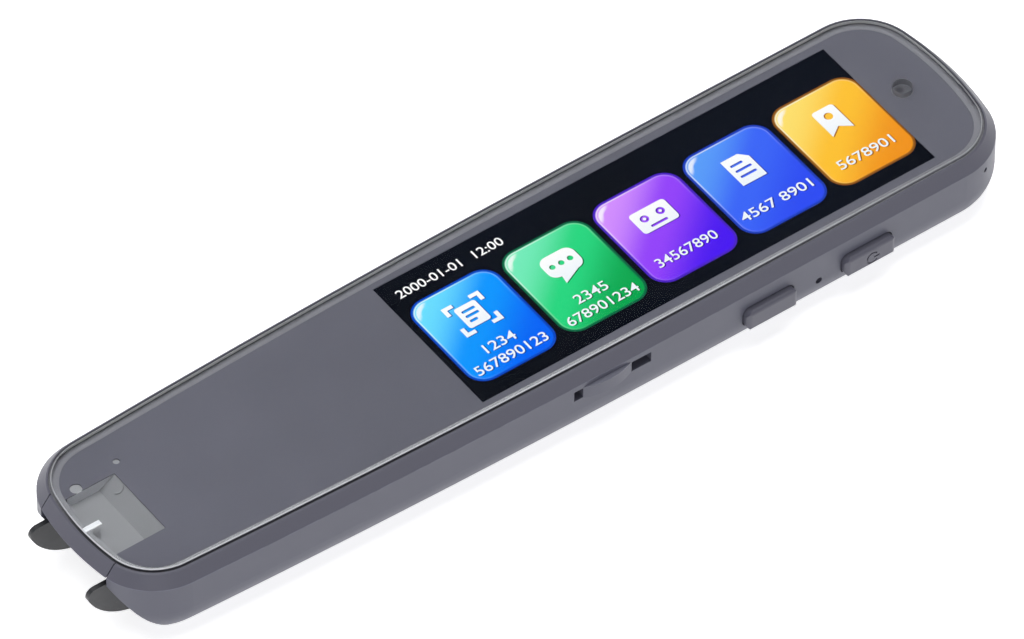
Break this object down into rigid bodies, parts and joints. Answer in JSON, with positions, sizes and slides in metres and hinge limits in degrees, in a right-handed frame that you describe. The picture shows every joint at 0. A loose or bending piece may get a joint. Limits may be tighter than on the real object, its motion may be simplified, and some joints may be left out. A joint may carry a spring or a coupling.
{
  "type": "handheld translator",
  "caption": "Pen-shaped handheld scanner with a full-length cover glass, a wide screen, a sprung two-pronged scanning tip, side keys, a strap bar and a tail charge socket.",
  "frame": {"origin": "middle of the flat back, halfway along the housing and between its straight sides", "axes": "+X from the nose to the tail, +Y away from the side with the keys, +Z out of the cover glass"},
  "size_m": [0.1407, 0.0331, 0.012],
  "materials": {
    "shell_grey": "satin moulded plastic with a fine grain",
    "smoke_plastic": "smoky translucent plastic, satin",
    "hood_grey": "matte light grey plastic",
    "cover_glass": "polished with a rounded edge",
    "clear_window": "polished clear plastic",
    "printed_film": "printed grey film",
    "white_print": "white print",
    "screen": "black panel, lit",
    "touch_film": "clear laminated film",
    "light_guide": "frosted clear plastic",
    "steel": "bright sheet and wire",
    "dark_screw": "black coated steel",
    "board_green": "solder mask",
    "board_white": "white solder mask",
    "flex_amber": "polyimide film",
    "black_plastic": "moulded black",
    "ivory_plastic": "moulded ivory",
    "battery_foil": "laminated foil pouch",
    "wire_red": "insulated wire",
    "led_yellow": "phosphor dome",
    "lens_glass": "coated lens",
    "black_foam": "foam and silicone",
    "dark_mesh": "black woven mesh",
    "gasket_grey": "adhesive foam"
  },
  "bodies": {
    "housing": {"lower_housing": "shell_grey", "upper_frame": "shell_grey", "nose_insert": "shell_grey", "housing_screws": "dark_screw", "cover_glass": "cover_glass", "glass_gasket": "gasket_grey", "bezel_film": "printed_film", "aiming_mark": "white_print", "touch_sensor": "touch_film", "display_panel": "screen", "light_guide": "light_guide", "backlight_tray": "steel", "display_flex": "flex_amber", "main_board": "board_green", "processor_shield": "steel", "wireless_shield": "steel", "board_chips": "black_plastic", "board_connectors": "ivory_plastic", "board_screws": "steel", "battery": "battery_foil", "battery_tape": "black_foam", "battery_protection": "flex_amber", "battery_leads": "wire_red", "scan_hood": "hood_grey", "scan_window": "clear_window", "led_board": "board_white", "scan_leds": "led_yellow", "camera_module": "black_plastic", "camera_lens": "lens_glass", "scan_board": "board_green", "camera_flex": "flex_amber", "tip_springs": "steel", "tip_switch": "black_plastic", "power_switch": "steel", "home_switch": "steel", "key_board": "board_green", "key_bracket": "steel", "side_microphone": "steel", "microphone_boot": "black_foam", "front_microphone": "steel", "front_microphone_boot": "black_foam", "front_mesh": "dark_mesh", "speaker_box": "black_plastic", "speaker_gasket": "black_foam", "speaker_mesh": "dark_mesh", "usb_shell": "steel", "usb_tongue": "black_plastic", "antenna_strip": "flex_amber"},
    "tip": {"tip_trigger": "smoke_plastic"},
    "power_key": {"power_key": "shell_grey"},
    "home_key": {"home_key": "shell_grey"}
  },
  "joints": [
    {"name": "tip_press", "type": "slide", "parent": "housing", "child": "tip", "axis": [1, 0, 0], "range_m": [0, 0.0007], "stiffness_N_per_m": 600, "springref_m": -0.0005, "deforming": ["tip_springs"]},
    {"name": "power_press", "type": "slide", "parent": "housing", "child": "power_key", "axis": [0, 1, 0], "range_m": [0, 0.00035], "stiffness_N_per_m": 4000},
    {"name": "home_press", "type": "slide", "parent": "housing", "child": "home_key", "axis": [0, 1, 0], "range_m": [0, 0.00035], "stiffness_N_per_m": 4000}
  ]
}
